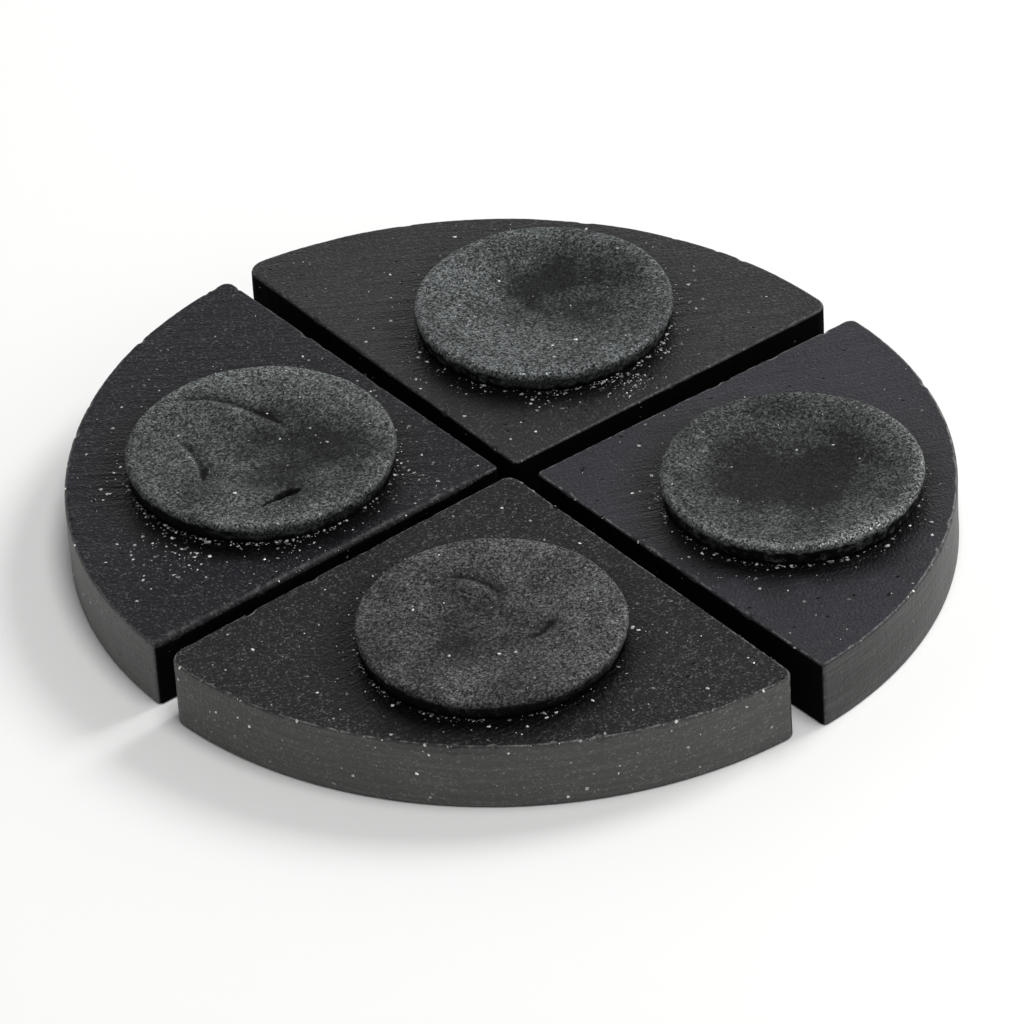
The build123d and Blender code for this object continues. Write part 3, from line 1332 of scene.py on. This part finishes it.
    def build(self) -> bpy.types.Object:
        """Make the cake's mesh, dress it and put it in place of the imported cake.

        Returns:
            The cake.
        """
        piece = write_rings(f"{self.side.value}_cake_pressed", *self.rings())
        piece.data.materials.append(self.finish.material())
        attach(piece, self.side.value)
        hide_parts(self.side.cake_node)
        LOG.info("%s: %d corners", piece.name, len(piece.data.vertices))
        return piece


# ---------------------------------------------------------------------------------------------
# Loose mica
# ---------------------------------------------------------------------------------------------


@dataclass(frozen=True)
class Drift:
    """Flakes gathered in one patch. Places are in mm from the cake's middle."""

    x: float
    y: float
    spread: float
    count: int


@dataclass
class MicaScatter:
    """Flakes that fell while the cake was pressed, lying on the block and on the cake."""

    side: Side
    seed: int
    around_cake: int = 160
    over_block: int = 150
    on_wall: int = 40
    drifts: tuple = ()
    foot_degrees: float = 255.0
    foot_count: int = 60
    on_arris: int = 14
    on_cake: int = 46
    smallest: float = 0.09
    largest: float = 0.34
    thickness: float = 0.035

    CORNERS = 5
    UP = Vector((0.0, 0.0, 1.0))
    # Bigger powers make more of the flakes small, and more of them dull; the shine is a painted glint.
    SIZE_POWER = 0.55
    GLINT_POWER = 1.3
    TILT = 0.16
    SPREAD_AROUND = 1.9
    SPREAD_AT_FOOT = 0.5
    FOOT_SWING = 0.6
    EDGE_MARGIN = 0.7
    WALL_MARGIN = 0.8
    RIM_MARGIN = 1.5

    def places(self, block: QuarterBlock, rng: np.random.Generator) -> np.ndarray:
        """Choose where flakes lie on the block's top.

        Args:
            block: The block they lie on.
            rng: The scatter's random numbers.

        Returns:
            Places in plan, in mm.
        """
        outline, _ = block.outline()
        seat = block.seat
        bearing = rng.uniform(0.0, 2 * math.pi, self.around_cake)
        away = seat.radius - 0.3 + rng.exponential(self.SPREAD_AROUND, self.around_cake)
        near = seat.centre + ray(bearing) * away[:, None]
        bearing = math.radians(self.foot_degrees) + rng.normal(0.0, self.FOOT_SWING, self.foot_count)
        away = seat.radius - 0.25 + np.abs(rng.normal(0.0, self.SPREAD_AT_FOOT, self.foot_count))
        foot = seat.centre + ray(bearing) * away[:, None]
        pick = rng.integers(block.around, size=self.over_block)
        inward = 0.03 + 0.97 * rng.random(self.over_block)
        spread = outline[pick] + (seat.centre - outline[pick]) * inward[:, None]
        heaps = [
            seat.centre + (drift.x, drift.y) + rng.normal(0.0, drift.spread, (drift.count, 2))
            for drift in self.drifts]
        found = np.vstack([near, foot, spread, *heaps])
        gap = found - seat.centre
        loop = outline - seat.centre
        limit = np.interp(
            np.arctan2(gap[:, 1], gap[:, 0]), np.arctan2(loop[:, 1], loop[:, 0]),
            np.linalg.norm(loop, axis=1), period=2 * math.pi)
        gap = np.linalg.norm(gap, axis=1)
        return found[(gap > seat.radius - 0.4) & (gap < limit - self.EDGE_MARGIN)]

    def flake(self, rng: np.random.Generator, size: float) -> np.ndarray:
        """Cut one flake: an uneven ring of corners between a top and a bottom point.

        Args:
            rng: The scatter's random numbers.
            size: The flake's radius in mm.

        Returns:
            Its corners about its own middle; the last two are its top and its bottom.
        """
        step = 2 * math.pi / self.CORNERS
        turns = np.sort(rng.uniform(0.0, step, self.CORNERS) + np.arange(self.CORNERS) * step)
        reach = size * rng.uniform(0.6, 1.15, self.CORNERS)
        ring = np.column_stack([reach[:, None] * ray(turns), np.zeros(self.CORNERS)])
        return np.vstack([ring, (0.0, 0.0, self.thickness / 2), (0.0, 0.0, -self.thickness / 2)])

    def build(
            self, block: QuarterBlock, cake: PigmentCake, finish: bpy.types.Material) -> bpy.types.Object:
        """Make all the flakes of one block as one piece of many closed slivers.

        Args:
            block: The block they lie on.
            cake: The cake that some of them lie on.
            finish: The mica's material.

        Returns:
            The flakes.
        """
        rng = np.random.default_rng(self.seed)
        outline, outward = block.outline()
        seats = [
            (np.append(at, block.height + block.top_relief(at)), self.UP)
            for at in self.places(block, rng)]
        for _ in range(self.on_wall):
            k = rng.integers(block.around)
            level = rng.uniform(self.WALL_MARGIN, block.height - self.WALL_MARGIN)
            seats.append((np.append(outline[k], level), Vector((*outward[k], 0.0))))
        for _ in range(self.on_arris):
            k = rng.integers(block.around)
            drop = 0.3 * block.arris
            at = np.append(outline[k] - drop * outward[k], block.height - drop)
            seats.append((at, Vector((*outward[k], 1.0)).normalized()))
        for _ in range(self.on_cake):
            turn = rng.uniform(0.0, 2 * math.pi)
            plan = (block.seat.radius - self.RIM_MARGIN) * math.sqrt(rng.random()) * ray(turn)
            level = cake.top(plan, np.array(block.seat.radius - cake.rim_round))
            seats.append((np.append(block.seat.centre + plan, level), self.UP))
        points, faces, shine = [], [], []
        for at, up in seats:
            size = min(self.largest, self.smallest / rng.random() ** self.SIZE_POWER)
            lean = Matrix.Rotation(rng.normal(0.0, self.TILT), 3, Vector(rng.normal(size=3)).normalized())
            spin = np.array(up.to_track_quat("Z", "Y").to_matrix() @ lean)
            base = len(points)
            lift = 0.25 * self.thickness + 0.05 * size
            points += list(self.flake(rng, size) @ spin.T + at + np.array(up) * lift)
            for k in range(self.CORNERS):
                this, after = base + k, base + (k + 1) % self.CORNERS
                faces += [(this, after, base + self.CORNERS), (after, this, base + self.CORNERS + 1)]
            # Painted glint: a random shine for each flake.
            shine += [float(rng.random() ** self.GLINT_POWER)] * (self.CORNERS + 2)
        piece = write_mesh(f"{self.side.value}_mica_flakes", np.array(points), faces, {"shine": shine})
        piece.data.polygons.foreach_set("use_smooth", np.zeros(len(faces), bool))
        piece.data.materials.append(finish)
        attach(piece, self.side.value)
        LOG.info("%s: %d flakes", piece.name, len(seats))
        return piece


# ---------------------------------------------------------------------------------------------
# Studio
# ---------------------------------------------------------------------------------------------


@dataclass(frozen=True)
class SoftBox:
    """One soft light, placed by bearing and height round the object. Lengths are in metres."""

    name: str
    bearing: float
    elevation: float
    distance: float
    size: float
    watts: float

    def build(self, centre: Vector) -> None:
        """Hang the light and aim it.

        Args:
            centre: What it points at.
        """
        lamp = bpy.data.lights.new(self.name, "AREA")
        lamp.shape, lamp.size, lamp.energy = "DISK", self.size, self.watts
        away = towards(self.bearing, self.elevation)
        light = bpy.data.objects.new(self.name, lamp)
        light.location = centre + away * self.distance
        light.rotation_mode = "QUATERNION"
        light.rotation_quaternion = away.to_track_quat("Z", "Y")
        bpy.context.scene.collection.objects.link(light)


@dataclass(frozen=True)
class Studio:
    """White paper, surroundings that are white low down and dark overhead, soft lights, a long lens."""

    camera_bearing: float = 8.62
    camera_elevation: float = 36.49
    camera_distance: float = 1.0299
    aim: tuple = (1.5, -10.2)
    roll: float = -3.66
    lens: float = 249.3
    cake_stands: float = 0.003
    floor_size: float = 6.0
    floor_level: float = -0.00002
    horizon: str = "#ffffff"
    zenith: str = "#1a1b1d"
    bright_way: tuple = (0.8, 0.6, 0.0)
    dim_side: float = 0.6
    bright_side: float = 1.5
    lights: tuple = (
        SoftBox("key_softbox", 135.0, 38.0, 1.3, 0.5, 10.0),
        SoftBox("overhead_softbox", 60.0, 80.0, 1.5, 0.7, 12.0),
    )

    def build(self, low: Vector, high: Vector) -> None:
        """Set up the floor, the light and the camera round the object.

        Args:
            low: The object's lowest corner.
            high: The object's highest corner.
        """
        self.floor()
        self.sky()
        centre = (low + high) / 2
        for light in self.lights:
            light.build(centre)
        self.camera(Vector((0.0, 0.0, high.z - self.cake_stands)))
        bpy.context.scene.view_settings.view_transform = "Standard"

    def floor(self) -> None:
        """Lay the paper just under the blocks."""
        half = self.floor_size / 2
        corners = [
            (x * half, y * half, self.floor_level) for x, y in ((-1, -1), (1, -1), (1, 1), (-1, 1))]
        mesh = bpy.data.meshes.new("paper_floor")
        mesh.from_pydata(corners, [], [(0, 1, 2, 3)])
        mesh.materials.append(PaperSweep().material())
        floor = bpy.data.objects.new("paper_floor", mesh)
        bpy.context.scene.collection.objects.link(floor)
        floor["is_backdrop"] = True

    def sky(self) -> None:
        """Surround the set: white near the horizon, dark overhead and brighter on one side."""
        world = bpy.data.worlds.new("studio")
        world.use_nodes = True
        tree = world.node_tree
        tree.nodes.clear()
        place = add_node(tree, "TexCoord").outputs["Generated"]
        rise = add_node(tree, "SeparateXYZ", {"Vector": place}).outputs["Z"]
        share = add_node(
            tree, "MapRange", {"Value": rise, "From Min": 0.04, "From Max": 0.95},
            interpolation_type="SMOOTHSTEP")
        colour = add_node(
            tree, "MixRGB", {"Fac": share, "Color1": linear(self.horizon), "Color2": linear(self.zenith)})
        facing = add_node(
            tree, "VectorMath", {0: place, 1: self.bright_way}, operation="DOT_PRODUCT").outputs["Value"]
        strength = add_node(
            tree, "MapRange",
            {"Value": facing, "From Min": -1.0, "To Min": self.dim_side, "To Max": self.bright_side})
        glow = add_node(tree, "Background", {"Color": colour, "Strength": strength})
        add_node(tree, "OutputWorld", {"Surface": glow})
        bpy.context.scene.world = world

    def camera(self, pivot: Vector) -> None:
        """Place the long lens.

        Args:
            pivot: The middle of the round, at the height of the wood's top.
        """
        target = pivot + Vector((self.aim[0], self.aim[1], 0.0)) * MM
        lens = bpy.data.cameras.new("long_lens")
        lens.lens, lens.sensor_width, lens.clip_start = self.lens, 36.0, 0.05
        camera = bpy.data.objects.new("camera", lens)
        camera.location = pivot + towards(
            self.camera_bearing, self.camera_elevation) * self.camera_distance
        look = (target - camera.location).to_track_quat("-Z", "Y").to_matrix()
        camera.rotation_mode = "QUATERNION"
        roll = Matrix.Rotation(math.radians(self.roll), 3, "Z")
        camera.rotation_quaternion = (look @ roll).to_quaternion()
        bpy.context.scene.collection.objects.link(camera)
        bpy.context.scene.camera = camera


# ---------------------------------------------------------------------------------------------
# The set
# ---------------------------------------------------------------------------------------------

WOODS = {
    Side.BACK: EbonisedWood("ebonised_wood_back", 12.0, dust_share=0.6, saw_strength=0.1),
    Side.LEFT: EbonisedWood(
        "ebonised_wood_left", 6.0, stain="#090910", thin_stain="#13121c", painted_side_light="#545453",
        dust_share=0.3, powder_share=0.15, pore_share=0.3, side_pores=1.0, specular=0.21),
    Side.FRONT: EbonisedWood(
        "ebonised_wood_front", 45.0, stain="#0e0e10", thin_stain="#151417", painted_side_light="#4c4c4b",
        worn_highlight="#83817f", worn_share=0.95, dust_share=0.5, powder_share=0.2, pore_share=0.2,
        streak_share=0.2, saw_strength=0.2, fibre_strength=0.6, specular=0.18),
    Side.RIGHT: EbonisedWood(
        "ebonised_wood_right", 20.0, stain="#13121a", thin_stain="#1f1e28", painted_side_light="#302f2e",
        worn_highlight="#858381", worn_share=1.0, dust_share=0.15, powder_share=0.05, pore_share=0.25),
}

MICA_TINTS = {
    Side.BACK: "#858a8a", Side.LEFT: "#888d8c", Side.FRONT: "#898a8a", Side.RIGHT: "#878a8a"}

# How far the arris is eased along each quarter's left-hand cut, in mm.
LEFT_CUT_ARRIS = {Side.BACK: 0.4, Side.LEFT: 1.0, Side.FRONT: 0.4, Side.RIGHT: 0.45}

CAKES = {
    Side.BACK: {
        "dish": 1.9, "dish_offset": (1.5, 3.0), "seed": 21, "hollow_shade_share": 0.85, "hollow_shade_reach": 9.5,
        "hollow_shade_path": ((6.5, 9.0), (1.0, 8.0), (-3.0, 3.5), (-0.5, -0.5), (5.5, -1.5)),
        "richness": 0.52, "sheen_degrees": 205.0, "sheen_gain": 0.14},
    Side.LEFT: {
        "dish": 1.0, "seed": 22, "rim_width": 3.5, "hollow_shade_share": 0.55,
        "hollow_shade_path": ((-4.0, 3.0), (3.0, 3.5), (9.0, 0.0), (6.0, -6.0)),
        "richness": 0.44, "sheen_degrees": 98.0, "sheen_gain": 0.11, "sheen_twofold": 0.17,
        "rim_highlight": 0.3, "rim_highlight_turn": 0.4,
        "features": (
            Fold(
                ((-16.6, 7.4), (-13.2, 10.4), (-9.0, 11.3), (-3.8, 9.8), (1.5, 6.8), (4.5, 4.0)),
                0.36, 0.8, -0.3),
            Dent(-4.9, 7.2, -0.4, 2.2, 1.3, -15.0),
            Fold(((-14.0, 2.6), (-10.9, -0.2), (-8.6, -4.0), (-7.6, -7.6), (-7.4, -11.0)), 0.4, 0.65, -0.3),
            Dent(-2.8, -12.0, -0.6, 5.5, 2.6, 0.0),
            Dent(-12.5, -5.5, 0.35, 2.6, 3.6, 20.0),
            Dent(4.5, 2.0, 0.3, 6.0, 5.0, 20.0),
            Crack(((1.9, -15.1), (3.2, -13.4), (4.4, -12.5), (5.2, -10.5), (6.3, -9.1)), 0.8, 0.5),
            Crack(((3.4, -13.2), (4.8, -11.6), (5.9, -10.6), (7.4, -9.2)), 1.0, 0.9),
            Fold(
                ((-4.4, -17.5), (1.2, -17.0), (7.5, -14.6), (13.2, -10.8), (17.0, -6.3)),
                0.1, 0.7, 0.05, 2.0),
        )},
    Side.FRONT: {
        "dish": 0.8, "seed": 23, "rim_width": 3.2, "hollow_shade_share": 0.3,
        "hollow_shade_path": ((-7.0, 3.0), (0.0, -2.0), (5.0, -6.0)), "richness": 0.36,
        "sheen_degrees": 45.0, "sheen_gain": 0.09, "rim_highlight": 0.09, "lit_wall_degrees": 315.0,
        "features": (
            Fold(((-9.6, 9.4), (-5.4, 9.9), (-2.4, 9.0), (-0.2, 7.0), (0.8, 4.0)), 0.3, 0.7, -0.3),
            Dent(-3.8, 7.2, -0.36, 1.6, 1.1, -20.0),
            Fold(((9.4, 2.6), (8.7, -0.2), (7.2, -2.4), (4.6, -3.8)), 0.3, 0.95, 0.3),
            Dent(11.1, -0.6, -0.5, 2.2, 2.8, 10.0),
            Fold(((4.0, -17.6), (8.1, -17.0), (12.0, -14.4), (15.2, -11.0)), 0.14, 0.6, 0.08, 2.0),
        )},
    Side.RIGHT: {
        "dish": 1.7, "seed": 24, "rim_width": 2.3, "dish_offset": (1.0, 1.5),
        "hollow_shade_share": 1.12, "hollow_shade_reach": 16.0,
        "hollow_shade_path": ((-3.0, 0.0), (3.0, 1.5)),
        "richness": 0.38, "sheen_degrees": 305.0, "sheen_gain": 0.06,
        "rim_highlight": 0.5, "rim_highlight_turn": 0.85, "rim_highlight_band": 0.85,
        "rim_round": 0.65, "lit_wall_degrees": 190.0, "wall_shade": 0.95,
        "features": (
            Dent(11.5, -12.0, -0.3, 7.0, 1.8, 38.0),
            Dent(10.2, 13.4, -0.2, 3.0, 1.2, -30.0),
        )},
}

SCATTERS = {
    Side.BACK: MicaScatter(
        Side.BACK, 31, around_cake=170, over_block=170, foot_degrees=300.0, foot_count=70,
        drifts=(Drift(14.0, -16.6, 1.8, 90), Drift(3.0, -20.0, 2.0, 30), Drift(18.6, -7.0, 1.0, 20))),
    Side.LEFT: MicaScatter(
        Side.LEFT, 32, around_cake=190, over_block=190, on_wall=70, foot_degrees=260.0, foot_count=150,
        drifts=(Drift(-9.0, -22.0, 4.0, 130), Drift(8.0, -21.0, 3.5, 60), Drift(21.0, -3.0, 3.0, 34))),
    Side.FRONT: MicaScatter(
        Side.FRONT, 33, around_cake=120, over_block=260, on_wall=240, on_arris=90),
    Side.RIGHT: MicaScatter(
        Side.RIGHT, 34, around_cake=90, over_block=110, on_arris=24, foot_degrees=265.0, foot_count=80,
        drifts=(Drift(-5.0, -21.0, 3.5, 14),)),
}


def main() -> None:
    """Load the frame, build every piece of the set on it, and set up the studio."""
    logging.basicConfig(level=logging.INFO, format="%(name)s %(message)s")
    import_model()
    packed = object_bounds()
    mica = MicaFlake().material()
    sawn = GapShadedSawnCut().material()
    for number, side in enumerate(Side):
        block = QuarterBlock(side, WOODS[side], seed=11 + number, left_cut_arris=LEFT_CUT_ARRIS[side])
        block.build(sawn)
        charcoal = PressedCharcoal(f"pressed_charcoal_{side.value}", MICA_TINTS[side])
        cake = PigmentCake(side, charcoal, **CAKES[side])
        cake.build()
        SCATTERS[side].build(block, cake, mica)
    Studio().build(*packed)


if __name__ == "__main__":
    main()
